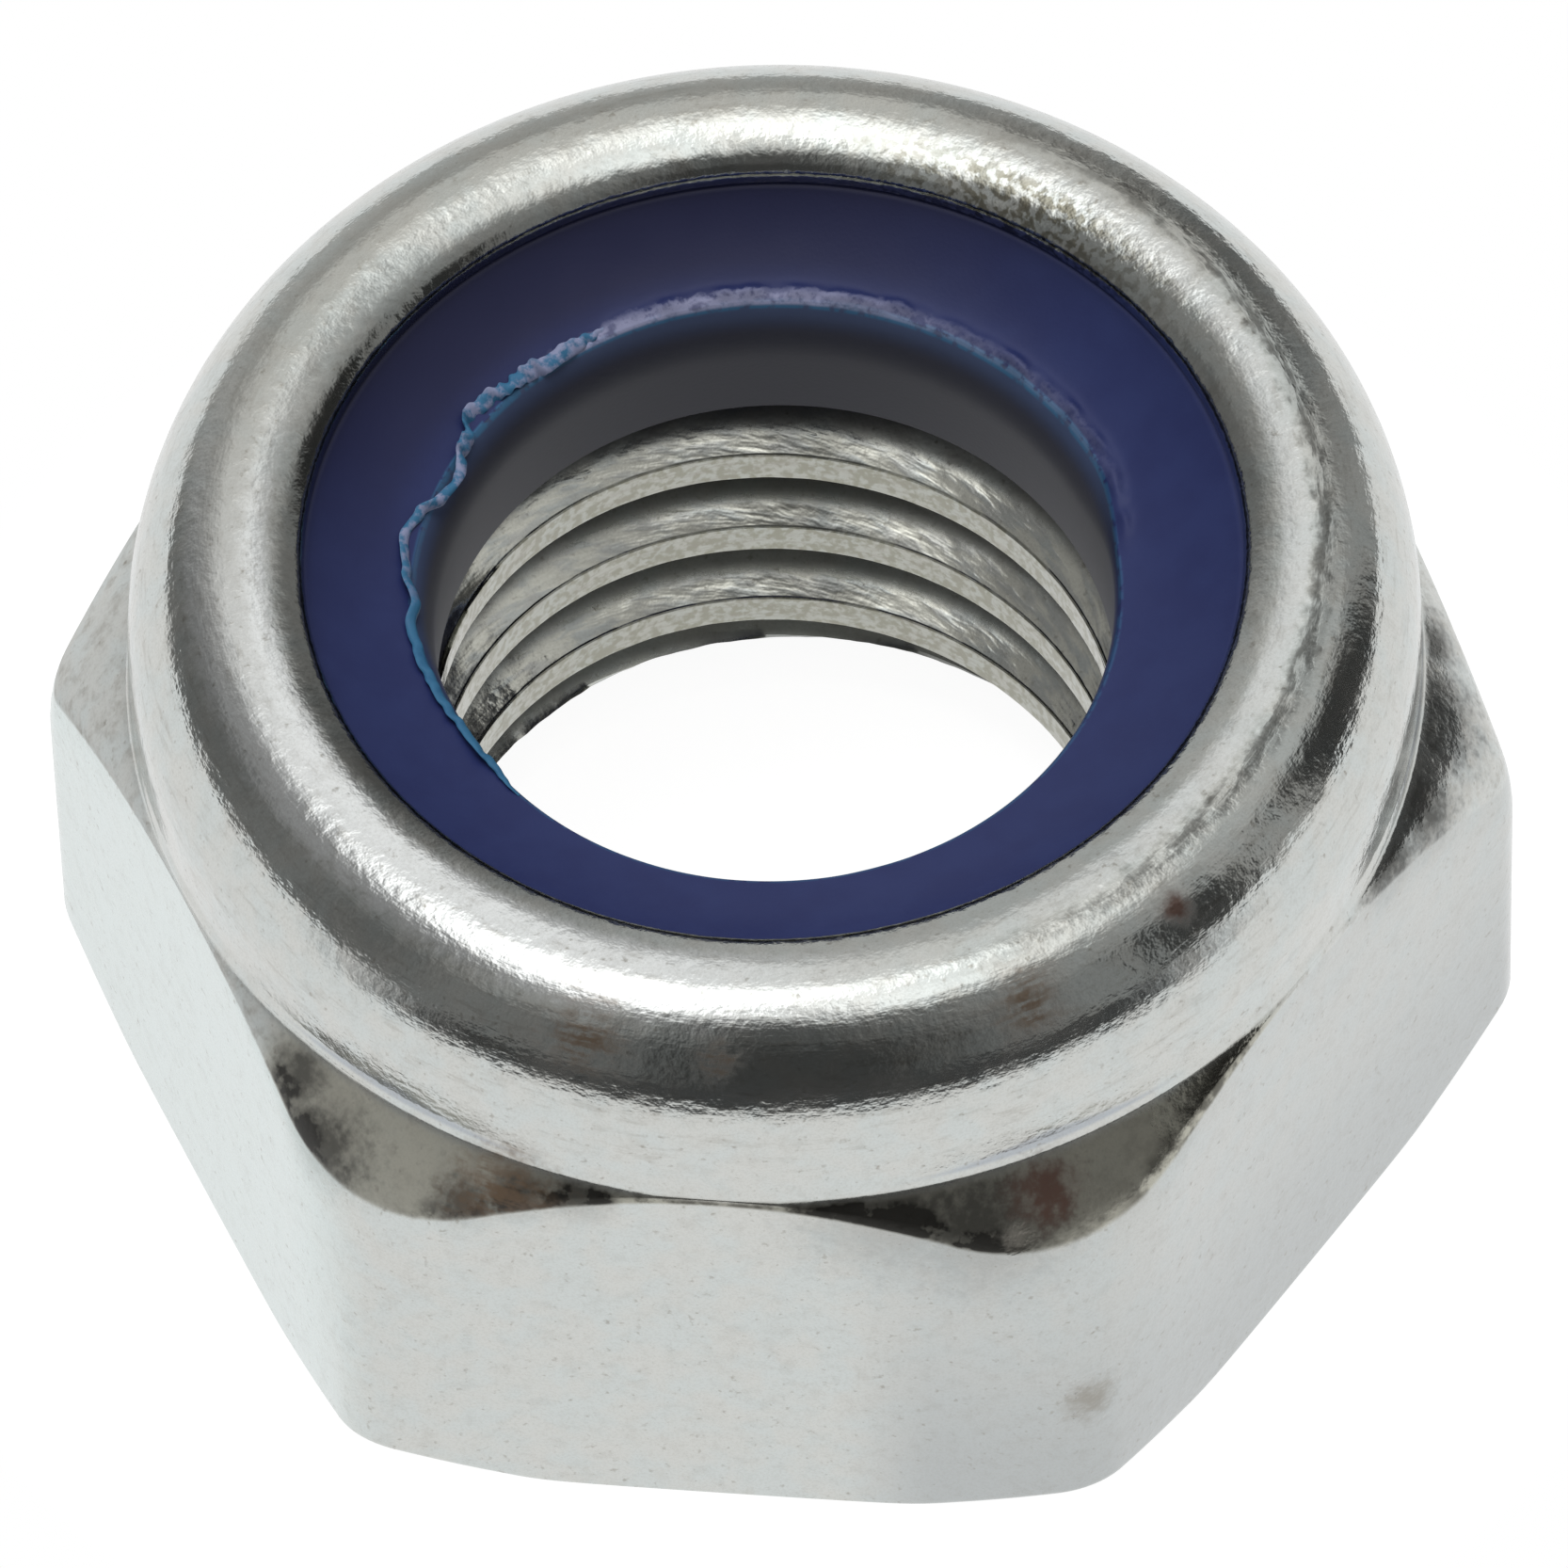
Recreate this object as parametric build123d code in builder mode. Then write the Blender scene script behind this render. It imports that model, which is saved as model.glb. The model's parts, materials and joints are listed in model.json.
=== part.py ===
import os
from math import ceil, cos, radians, tan

from build123d import *
from build123d.topology import SkipClean

# Nylon insert lock nut. Millimetres, +Z along the thread axis.
# The origin is the centre of the bearing face, and the insert is at the top.

# driving dimensions: hexagon
across_flats = 13.0
corner_rounding = 0.56
shoulder_height = 5.3
top_chamfer_angle = 51.8
bottom_chamfer_height = 0.58
bottom_chamfer_angle = 36.0

# driving dimensions: collar that is rolled over the insert
collar_height = 2.2
collar_step = 0.03
collar_wall = 1.12
dome_width = 1.07
dome_height = 1.49
lip_overhang = 0.68
lip_land = 0.25
lip_crown_height = 0.35
lip_edge_height = 0.1
lip_bevel_height = 0.65

# driving dimensions: thread
thread_diameter = 8.0
thread_pitch = 1.25
thread_depth = 0.56
thread_angle = 60.0
thread_lead_in = 0.52
countersink_margin = 0.2
countersink_angle = 45.0
pocket_sink = 0.3
bore_sectors = 3

# driving dimensions: insert
insert_grip = 0.04
insert_dish_depth = 0.56
insert_dish_curve = 0.07
insert_edge_radius = 0.15
insert_clearance = 0.02

# hexagon: the chamfers are cones, and each is set by where it leaves the corners' circle
apothem = across_flats / 2
corner_reach = apothem / cos(radians(30))
collar_radius = apothem - collar_step
bearing_radius = corner_reach - bottom_chamfer_height / tan(radians(bottom_chamfer_angle))
top_chamfer_height = (corner_reach - collar_radius) * tan(radians(top_chamfer_angle))

# collar: an upright wall, a dome outside, and a lip that overhangs the insert
total_height = shoulder_height + collar_height
dome_base = total_height - dome_height
crown_radius = collar_radius - dome_width
crown_base = total_height - lip_crown_height
lip_underside = crown_base - lip_edge_height
bevel_base = lip_underside - lip_bevel_height
pocket_radius = collar_radius - collar_wall
pocket_floor = shoulder_height - pocket_sink
lip_radius = pocket_radius - lip_overhang

# thread: the groove is a V with a flat root, and it starts and ends in the open
root_radius = thread_diameter / 2
crest_radius = root_radius - thread_depth
countersink_radius = root_radius + countersink_margin
countersink_depth = (countersink_radius - crest_radius) * tan(radians(countersink_angle))
root_half_width = thread_pitch / 16
mouth_radius = crest_radius - thread_pitch / 16
mouth_half_width = root_half_width + (root_radius - mouth_radius) * tan(radians(thread_angle / 2))
groove_start = thread_lead_in - thread_pitch
groove_turns = ceil(pocket_floor / thread_pitch) + 2

# insert: it fills the pocket, and its top face falls from the lip to the bore
insert_radius = pocket_radius - insert_clearance
insert_rim_height = lip_underside - insert_clearance
insert_bore_radius = crest_radius - insert_grip
insert_bore_top = insert_rim_height - insert_dish_depth

with BuildPart() as groove_turn:
    # one turn of the thread groove
    with BuildLine():
        groove_path = Helix(thread_pitch, thread_pitch, crest_radius, center=(0, 0, groove_start))
    with BuildSketch(Plane.XZ):
        with BuildLine():
            Polyline(
                (mouth_radius, groove_start - mouth_half_width),
                (root_radius, groove_start - root_half_width),
                (root_radius, groove_start + root_half_width),
                (mouth_radius, groove_start + mouth_half_width),
                close=True,
            )
        make_face()
    sweep(path=groove_path, is_frenet=True)

with BuildPart() as nut_body:
    # hexagon with rounded corners
    with BuildSketch(Plane.XY) as hexagon:
        RegularPolygon(apothem, 6, major_radius=False, rotation=30)
        fillet(hexagon.vertices(), corner_rounding)
    extrude(amount=shoulder_height)

    # chamfers across the corners, turned as a cone at each end
    with BuildSketch(Plane.XZ):
        with BuildLine():
            Polyline(
                (0, 0),
                (bearing_radius, 0),
                (corner_reach, bottom_chamfer_height),
                (corner_reach, shoulder_height - top_chamfer_height),
                (collar_radius, shoulder_height),
                (0, shoulder_height),
                close=True,
            )
        make_face()
    revolve(axis=Axis.Z, mode=Mode.INTERSECT)

    # collar, domed outside and rolled inwards to the lip
    with BuildSketch(Plane.XZ):
        with BuildLine():
            Line((collar_radius, shoulder_height), (collar_radius, dome_base))
            EllipticalCenterArc((crown_radius, dome_base), dome_width, dome_height, 0, arc_size=90)
            EllipticalCenterArc(
                (crown_radius, crown_base), crown_radius - lip_radius, lip_crown_height, 90, arc_size=90
            )
            Polyline(
                (lip_radius, crown_base),
                (lip_radius, lip_underside),
                (lip_radius + lip_land, lip_underside),
                (pocket_radius, bevel_base),
                (pocket_radius, shoulder_height),
                (collar_radius, shoulder_height),
            )
        make_face()
    revolve(axis=Axis.Z)

    # Bore with a countersink at each end, and the floor of the insert's pocket.
    # The wall is left in sectors, so that no face of a crest goes right round.
    with SkipClean():
        for sector in range(bore_sectors):
            with BuildSketch(Plane.XZ.rotated((0, 0, sector * 360 / bore_sectors))):
                with BuildLine():
                    Polyline(
                        (0, 0),
                        (countersink_radius, 0),
                        (crest_radius, countersink_depth),
                        (crest_radius, pocket_floor - countersink_depth),
                        (countersink_radius, pocket_floor),
                        (pocket_radius, pocket_floor),
                        (pocket_radius, shoulder_height),
                        (0, shoulder_height),
                        close=True,
                    )
                make_face()
            revolve(axis=Axis.Z, revolution_arc=360 / bore_sectors, mode=Mode.SUBTRACT, clean=False)

        # right-hand thread, cut turn by turn and run out through both countersinks
        for turn in range(groove_turns):
            with Locations((0, 0, turn * thread_pitch)):
                add(groove_turn.part, mode=Mode.SUBTRACT, clean=False)

with BuildPart() as nylon_insert:
    # ring that follows the pocket and the lip, with its top face dished towards the bore
    with BuildSketch(Plane.XZ) as insert_section:
        with BuildLine():
            Polyline(
                (insert_bore_radius, insert_bore_top),
                (insert_bore_radius, pocket_floor),
                (insert_radius, pocket_floor),
                (insert_radius, bevel_base),
                (lip_radius + lip_land, insert_rim_height),
                (lip_radius, insert_rim_height),
            )
            SagittaArc(
                (lip_radius, insert_rim_height), (insert_bore_radius, insert_bore_top), insert_dish_curve
            )
        make_face()
        bore_corners = insert_section.vertices().group_by(Axis.X)[0]
        fillet(bore_corners.sort_by(Axis.Y)[-1], insert_edge_radius)
    revolve(axis=Axis.Z)

nut_body.part.label = "nut_body"
nylon_insert.part.label = "nylon_insert"

os.makedirs("parts", exist_ok=True)
export_step(nut_body.part, "parts/nut_body.step")
export_step(nylon_insert.part, "parts/nylon_insert.step")
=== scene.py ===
import json
import math
import bpy
import numpy as np
from mathutils import Matrix, Vector, noise

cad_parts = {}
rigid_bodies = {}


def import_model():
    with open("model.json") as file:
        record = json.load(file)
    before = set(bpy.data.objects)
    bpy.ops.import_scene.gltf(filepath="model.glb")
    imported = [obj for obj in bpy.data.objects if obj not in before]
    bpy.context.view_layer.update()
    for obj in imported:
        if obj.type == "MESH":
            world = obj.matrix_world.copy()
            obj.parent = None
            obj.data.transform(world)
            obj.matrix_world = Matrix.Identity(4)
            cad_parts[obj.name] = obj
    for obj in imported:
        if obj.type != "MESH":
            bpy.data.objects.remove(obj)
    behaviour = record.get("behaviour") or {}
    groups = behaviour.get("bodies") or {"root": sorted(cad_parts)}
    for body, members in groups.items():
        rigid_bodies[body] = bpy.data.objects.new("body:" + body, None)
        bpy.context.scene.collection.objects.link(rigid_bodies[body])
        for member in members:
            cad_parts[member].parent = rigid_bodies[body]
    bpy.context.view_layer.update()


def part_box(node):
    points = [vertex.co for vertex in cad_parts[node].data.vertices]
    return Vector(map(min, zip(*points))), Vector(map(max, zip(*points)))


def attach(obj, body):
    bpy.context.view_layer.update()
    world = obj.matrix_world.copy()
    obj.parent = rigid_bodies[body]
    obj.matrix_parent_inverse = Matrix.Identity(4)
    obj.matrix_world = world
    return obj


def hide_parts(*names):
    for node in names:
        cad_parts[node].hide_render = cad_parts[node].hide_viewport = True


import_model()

mm = 0.001
bodyLow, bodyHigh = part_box("nut_body")
ringLow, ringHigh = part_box("nylon_insert")
print("frame loaded")


# one value of a shader, so that maths can be written as plain expressions
class Value:
    def __init__(self, graph, socket):
        self.graph = graph
        self.socket = socket

    def math(self, operation, *others, clamp=False):
        settings = {"operation": operation, "use_clamp": clamp}
        return self.graph.node("ShaderNodeMath", settings, (self,) + others)

    def __add__(self, other):
        return self.math("ADD", other)

    def __radd__(self, other):
        return self.math("ADD", other)

    def __sub__(self, other):
        return self.math("SUBTRACT", other)

    def __rsub__(self, other):
        return self.graph.number(other).math("SUBTRACT", self)

    def __mul__(self, other):
        return self.math("MULTIPLY", other)

    def __rmul__(self, other):
        return self.math("MULTIPLY", other)

    def __truediv__(self, other):
        return self.math("DIVIDE", other)

    def __pow__(self, other):
        return self.math("POWER", other)

    def clamped(self):
        return self.math("ADD", 0.0, clamp=True)


class Graph:
    def __init__(self, tree):
        self.tree = tree
        tree.nodes.clear()

    # adds a node of any type: settings first, then what goes into its sockets
    def node(self, kind, settings=None, inputs=(), output=0):
        made = self.tree.nodes.new(kind)
        stops = None
        for name, value in (settings or {}).items():
            if name == "stops":
                stops = value
            else:
                setattr(made, name, value)
        if stops:
            ramp = made.color_ramp
            while len(ramp.elements) < len(stops):
                ramp.elements.new(0.5)
            for element, (position, shade) in zip(ramp.elements, stops):
                element.position = position
                element.color = (*shade, 1.0)
        pairs = inputs.items() if isinstance(inputs, dict) else enumerate(inputs)
        for key, value in pairs:
            if isinstance(value, Value):
                self.tree.links.new(value.socket, made.inputs[key])
            else:
                made.inputs[key].default_value = value
        return Value(self, made.outputs[output]) if made.outputs else made

    def number(self, value):
        return self.node("ShaderNodeMath", {"operation": "ADD"}, (float(value), 0.0))

    # 0 at the first limit and 1 at the second, with a smooth rise between them; the limits may be reversed
    def step(self, value, low, high):
        return self.node(
            "ShaderNodeMapRange",
            {"interpolation_type": "SMOOTHSTEP"},
            {"Value": value, "From Min": low, "From Max": high, "To Min": 0.0, "To Max": 1.0},
        )

    def noise(self, where, scale, detail=4.0, rough=0.55):
        return self.node(
            "ShaderNodeTexNoise", None,
            {"Vector": where, "Scale": scale, "Detail": detail, "Roughness": rough}, "Fac",
        )

    def mix(self, factor, first, second, blend="MIX"):
        return self.node(
            "ShaderNodeMix", {"data_type": "RGBA", "blend_type": blend},
            {"Factor": factor, 6: first, 7: second}, 2,
        )

    # the place on the surface in millimetres, whole and as x, y and z
    def place(self):
        metres = self.node("ShaderNodeTexCoord", None, (), "Object")
        where = self.node("ShaderNodeVectorMath", {"operation": "MULTIPLY"}, (metres, (1 / mm,) * 3))
        parts = self.node("ShaderNodeSeparateXYZ", None, (where,)).socket.node
        return (where, *(Value(self, parts.outputs[k]) for k in range(3)))


def color(red, green, blue):
    # a colour as written in sRGB, for sockets that take linear light
    shades = (c / 12.92 if c <= 0.04045 else ((c + 0.055) / 1.055) ** 2.4 for c in (red, green, blue))
    return (*shades, 1.0)


def gray(value):
    return (value, value, value, 1.0)


def newMaterial(name):
    made = bpy.data.materials.new(name)
    made.use_nodes = True
    return made, Graph(made.node_tree)


def onlyMirrored(material):
    # mirrored rays find its glow by themselves; it isn't sampled as a lamp, which is much quicker
    material.cycles.emission_sampling = "NONE"


def newMesh(name, points, faces, material, smooth=True):
    mesh = bpy.data.meshes.new(name)
    mesh.from_pydata([tuple(p) for p in points], [], [tuple(f) for f in faces])
    mesh.materials.append(material)
    if smooth:
        mesh.shade_smooth()
    mesh.update()
    made = bpy.data.objects.new(name, mesh)
    bpy.context.scene.collection.objects.link(made)
    return made


# sizes of the steel nut in millimetres, the outer ones from the frame; a list of six has one value for each
# corner, at 30, 90, 150 ... degrees round the axis
nut = {
    "acrossFlats": (bodyHigh[0] - bodyLow[0]) / mm,
    "totalHeight": (bodyHigh[2] - bodyLow[2]) / mm,
    "cornerRounding": (0.60, 0.60, 0.72, 0.66, 0.70, 0.60),
    "cornerBlunting": (0.60, 0.60, 0.72, 2.3, 2.5, 0.60),
    "cornerSoftness": (0.40, 0.40, 0.62, 0.30, 0.40, 0.66),
    "chamferCrown": (0.06, 0.06, 0.11, 0.045, 0.05, 0.11),
    "shoulderHeight": 5.3,
    "topChamferAngle": 51.8,
    "bottomChamferHeight": 0.52,
    "bottomChamferAngle": 36.0,
    "bottomSoftness": 0.06,
    "bottomBlend": 0.01,
    "countersinkBreak": 0.06,
    "collarStep": 0.03,
    "collarWall": 1.12,
    "shoulderSoftness": 0.03,
    "shoulderBead": 0.028,
    "domeWidth": 1.07,
    "domeHeight": 1.49,
    "lipOverhang": 0.68,
    "lipCrownHeight": 0.35,
    "lipEdgeHeight": 0.1,
    "lipUneven": 0.012,
    "lipEdgeRounding": (0.04, 0.03),
    "lipLand": 0.25,
    "pocketBevelHeight": 0.65,
    "threadDiameter": 8.0,
    "threadPitch": 1.25,
    "threadDepth": 0.56,
    "threadRootFlat": 0.24,
    "threadFlankAngle": 30.0,
    "crestRounding": 0.00002,
    "threadLeadIn": 0.52,
    "threadTearing": 0.013,
    "threadGrain": 0.004,
    "countersinkMargin": 0.2,
    "pocketSink": 0.3,
    "flatColumns": 46,
    "cornerColumns": 22,
    "cornerSpread": 7.0,
    "sharpAngle": 32.0,
}
nut["apothem"] = nut["acrossFlats"] / 2
nut["collarRadius"] = nut["apothem"] - nut["collarStep"]
nut["pocketRadius"] = nut["collarRadius"] - nut["collarWall"]
nut["lipRadius"] = nut["pocketRadius"] - nut["lipOverhang"]
nut["pocketFloor"] = nut["shoulderHeight"] - nut["pocketSink"]
nut["rootRadius"] = nut["threadDiameter"] / 2
nut["crestRadius"] = nut["rootRadius"] - nut["threadDepth"]


def roundAbout(angle, values):
    # one value for each corner, blended over the flats between them
    place = (angle - 30.0) / 60.0 % 6.0
    low = np.floor(place).astype(int) % 6
    share = place - np.floor(place)
    share = share * share * (3 - 2 * share)
    table = np.array(values)
    return table[low] * (1 - share) + table[(low + 1) % 6] * share


def nearestCorner(angle, values):
    return np.array(values)[np.floor(angle / 60.0 % 6.0).astype(int)]


def hexagonRadius(angle, apothem, roundings):
    # distance from the axis to the rounded hexagon, flats facing 0, 60, 120 ... degrees
    rounding = nearestCorner(angle, roundings)
    fromFlat = np.radians((angle + 30.0) % 60.0 - 30.0)
    flat = apothem / np.cos(fromFlat)
    delta = np.radians(30.0) - np.abs(fromFlat)
    centre = (apothem - rounding) / math.cos(math.radians(30))
    inside = np.clip(rounding ** 2 - (centre * np.sin(delta)) ** 2, 0.0, None)
    arc = centre * np.cos(delta) + np.sqrt(inside)
    tangent = np.arctan((apothem - rounding) * math.tan(math.radians(30)) / apothem)
    return np.where(np.abs(fromFlat) > tangent, arc, flat)


def rounded(path, softness, pieces=6):
    # path is a list of (r, z) arrays, one value for each column; its inner corners are rounded
    rows = [path[0]]
    for index in range(1, len(path) - 1):
        before, here, after = path[index - 1], path[index], path[index + 1]
        ends = []
        for other in (before, after):
            step = (other[0] - here[0], other[1] - here[1])
            length = np.hypot(*step) + 1e-9
            share = np.minimum(softness[index - 1], 0.48 * length) / length
            ends.append((here[0] + step[0] * share, here[1] + step[1] * share))
        for part in range(pieces + 1):
            t = part / pieces
            weights = ((1 - t) ** 2, 2 * t * (1 - t), t ** 2)
            rows.append(tuple(
                weights[0] * ends[0][k] + weights[1] * here[k] + weights[2] * ends[1][k] for k in (0, 1)
            ))
    rows.append(path[-1])
    return rows


def between(first, last, count):
    # extra rows on the straight stretch between two rows
    return [
        tuple(first[k] + (last[k] - first[k]) * part / (count + 1) for k in (0, 1))
        for part in range(1, count + 1)
    ]


def columnAngles(size):
    angles = []
    spread = size["cornerSpread"]
    for side in range(6):
        flat = np.linspace(-30 + spread, 30 - spread, size["flatColumns"], endpoint=False)
        corner = np.linspace(30 - spread, 30 + spread, size["cornerColumns"], endpoint=False)
        angles.extend(side * 60.0 + np.concatenate([flat, corner]))
    return np.array(angles)


def wobble(angle, seed, swing, turns):
    # a slow uneven swing round the axis, made from a few whole turns
    total = np.zeros_like(angle)
    for k in range(1, turns + 1):
        phase = noise.noise(Vector((seed, k * 3.7, 0.3))) * 9.0
        total += np.cos(np.radians(angle) * k + phase) / k
    return swing * total


def rough(points, scale, seed):
    # noise in -1..1 at each point
    return np.array([noise.noise(Vector(p) * scale + Vector((seed, seed, seed))) for p in points])


def outerRows(angle, size):
    # rows (r, z) from the edge of the bottom countersink round the outside to the pocket floor
    full = np.ones_like(angle)
    corner = hexagonRadius(angle, size["apothem"], size["cornerRounding"])
    upper = hexagonRadius(angle, size["apothem"], size["cornerBlunting"])
    slopeLow = math.tan(math.radians(size["bottomChamferAngle"]))
    slopeHigh = math.tan(math.radians(size["topChamferAngle"]))
    bearing = size["apothem"] / math.cos(math.radians(30)) - size["bottomChamferHeight"] / slopeLow
    beyond = corner - bearing
    beyond = 0.5 * (beyond + np.sqrt(beyond ** 2 + size["bottomBlend"]))
    lowZ = beyond * slopeLow
    soft = size["bottomSoftness"] * full
    countersink = (size["rootRadius"] + size["countersinkMargin"]) * full
    flatFrom = countersink + size["countersinkBreak"]
    highZ = size["shoulderHeight"] - (upper - size["collarRadius"]) * slopeHigh
    collar = size["collarRadius"] * full
    shoulder = size["shoulderHeight"] * full
    bead = size["shoulderBead"]
    domeBase = size["totalHeight"] - size["domeHeight"]
    width = upper - collar
    bulge = roundAbout(angle, size["chamferCrown"]) * np.clip(width / 0.9, 0.0, 1.0)
    tilt = math.atan(slopeHigh)
    middle = (
        collar + 0.5 * width + bulge * math.sin(tilt),
        0.5 * (highZ + shoulder) + bulge * math.cos(tilt),
    )
    cornerSoft = roundAbout(angle, size["cornerSoftness"])
    small = size["shoulderSoftness"] * full
    path = [
        (flatFrom, 0 * full),
        (corner - beyond, 0 * full),
        (corner, lowZ),
        (upper, highZ),
        middle,
        (collar + bead, shoulder - 0.4 * bead),
        (collar + 0.8 * bead, shoulder + 1.6 * bead),
        (collar, shoulder + 5.5 * bead),
        (collar, domeBase * full),
    ]
    rows = rounded(path, (soft, 1.3 * soft, cornerSoft, 0.9 * width, small, small, small))
    filled = [(countersink, 0 * full)]
    # the long stretches get more rows: how many, by the row that a stretch starts from
    extra = {0: 3, 14: 9, 21: 3, 28: 3, 49: 3}
    for index, row in enumerate(rows):
        filled.append(row)
        if index in extra:
            filled.extend(between(row, rows[index + 1], extra[index]))
    crown = size["collarRadius"] - size["domeWidth"]
    for part in range(1, 21):
        q = math.radians(90) * part / 20
        filled.append((
            (crown + size["domeWidth"] * math.cos(q)) * full,
            (domeBase + size["domeHeight"] * math.sin(q)) * full,
        ))
    lip = size["lipRadius"] + wobble(angle, 2.5, size["lipUneven"], 7)
    crownBase = size["totalHeight"] - size["lipCrownHeight"]
    for part in range(1, 15):
        q = math.radians(90) * part / 14
        filled.append((
            crown - (crown - lip) * math.sin(q),
            (crownBase + size["lipCrownHeight"] * math.cos(q)) * full,
        ))
    underside = crownBase - size["lipEdgeHeight"]
    filled.append((lip, underside * full + size["lipEdgeRounding"][1]))
    filled.append((lip + size["lipEdgeRounding"][0], underside * full))
    filled.append((lip + size["lipLand"], underside * full))
    filled.append((size["pocketRadius"] * full, (underside - size["pocketBevelHeight"]) * full))
    filled.append((size["pocketRadius"] * full, size["pocketFloor"] * full))
    filled.append((flatFrom, size["pocketFloor"] * full))
    return filled


def threadGrid(size):
    # rows of the bore follow the helix, so one turn on each row has risen by a pitch
    pitch = size["threadPitch"]
    rootHalf = size["threadRootFlat"] / 2
    mouthHalf = rootHalf + size["threadDepth"] * math.tan(math.radians(size["threadFlankAngle"]))
    stops = []
    for low, high, count in (
        (-mouthHalf, -rootHalf, 9), (-rootHalf, rootHalf, 3), (rootHalf, mouthHalf, 5),
        (mouthHalf, mouthHalf + 0.03, 2), (mouthHalf + 0.03, pitch - mouthHalf - 0.03, 5),
        (pitch - mouthHalf - 0.03, pitch - mouthHalf, 2),
    ):
        stops.extend(np.linspace(low, high, count, endpoint=False))
    turns = math.ceil(size["pocketFloor"] / pitch) + 4
    start = size["threadLeadIn"] - 2 * pitch
    return np.array([start + pitch * turn + stop for turn in range(turns) for stop in stops]), len(stops)


def threadRadius(phase, size):
    # phase is the height above the middle of the groove, the result has a small rounding on the crest
    pitch = size["threadPitch"]
    across = (phase + pitch / 2) % pitch - pitch / 2
    flank = math.tan(math.radians(size["threadFlankAngle"]))
    rise = (np.abs(across) - size["threadRootFlat"] / 2) / flank
    free = size["rootRadius"] - np.maximum(rise, 0.0) - size["crestRadius"]
    return size["crestRadius"] + 0.5 * (free + np.sqrt(free ** 2 + size["crestRounding"])), across


def buildNut(size, material):
    angle = columnAngles(size)
    columns = len(angle)
    turn = np.radians(angle)
    points, faces = [], []

    def addRing(radius, height):
        first = len(points)
        for k in range(columns):
            points.append((radius[k] * math.cos(turn[k]), radius[k] * math.sin(turn[k]), height[k]))
        return list(range(first, first + columns))

    outer = [addRing(*row) for row in outerRows(angle, size)]
    rim = size["rootRadius"] + size["countersinkMargin"]
    topRing = addRing(rim * np.ones(columns), size["pocketFloor"] * np.ones(columns))
    rings = outer + [topRing]
    for low, high in zip(rings, rings[1:]):
        for k in range(columns):
            n = (k + 1) % columns
            faces.append((low[k], low[n], high[n], high[k]))

    # bore: a helical grid that is cut off level at both ends; the lower flank of each groove is torn
    offsets, perPitch = threadGrid(size)
    length = size["pocketFloor"]
    profile, across = threadRadius(offsets - size["threadLeadIn"], size)
    flank = math.tan(math.radians(size["threadFlankAngle"]))
    mouthHalf = size["threadRootFlat"] / 2 + size["threadDepth"] * flank
    torn = np.exp(-((across + mouthHalf * 0.70) / 0.12) ** 2)
    grid = []
    for k in range(columns):
        column = []
        climb = size["threadPitch"] * angle[k] / 360.0
        around = Vector((math.cos(turn[k]), math.sin(turn[k]), 0.0))
        for index, offset in enumerate(offsets):
            height = offset + climb
            if height <= 0.02:
                column.append(outer[0][k])
            elif height >= length - 0.02:
                column.append(topRing[k])
            else:
                radius = max(profile[index], rim - height, rim - (length - height))
                spot = around * 11.0 + Vector((0, 0, height * 9.0))
                chatter = noise.noise(spot) + 0.6 * noise.noise(spot * 2.3)
                radius -= size["threadTearing"] * torn[index] * chatter
                radius -= size["threadGrain"] * noise.noise(spot * 1.3)
                column.append(len(points))
                points.append((radius * around.x, radius * around.y, height))
        grid.append(column)
    for k in range(columns):
        here = grid[k]
        last = k == columns - 1
        there = grid[0] if last else grid[k + 1]
        shift = perPitch if last else 0
        for row in range(len(offsets) - 1):
            if row + shift + 1 < len(there):
                low, high = there[row + shift], there[row + shift + 1]
            else:
                low = high = topRing[0]
            corners = []
            for index in (here[row], here[row + 1], high, low):
                if index not in corners:
                    corners.append(index)
            if len(corners) > 2:
                faces.append(corners)
    made = newMesh("nutBody", np.array(points) * mm, faces, material)
    made.data.set_sharp_from_angle(angle=math.radians(size["sharpAngle"]))
    print("nut body:", len(points), "points")
    return made


# sizes of the nylon ring in millimetres, its ends from the frame; the edge of its hole is flared and crushed
# between some angles round the axis
ring = {
    "boreRadius": nut["crestRadius"] - 0.04,
    "outerRadius": nut["pocketRadius"] - 0.02,
    "floor": ringLow[2] / mm,
    "rimHeight": ringHigh[2] / mm,
    "rimLand": 0.25,
    "rimBevelHeight": 0.63,
    "dishDepth": 0.56,
    "dishCurve": 0.07,
    "edgeRadius": 0.07,
    "edgeFlare": 0.15,
    "edgeSteepness": 2.7,
    "flareFrom": -20.0,
    "flareTo": 180.0,
    "crushedFrom": -20.0,
    "crushedTo": 97.0,
    "crushedHeight": 0.07,
    "unevenness": 0.006,
    "columns": 480,
    "dishRows": 40,
    "sharpAngle": 50.0,
}


def fade(value, low, high):
    t = np.clip((value - low) / (high - low), 0.0, 1.0)
    return t * t * (3 - 2 * t)


def within(angle, first, last, soft):
    # 1 between two angles round the axis, fading over soft degrees inside each end
    turned = (angle - first) % 360.0
    span = last - first
    return fade(turned, 0.0, soft) * (1 - fade(turned, span - soft, span))


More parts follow.
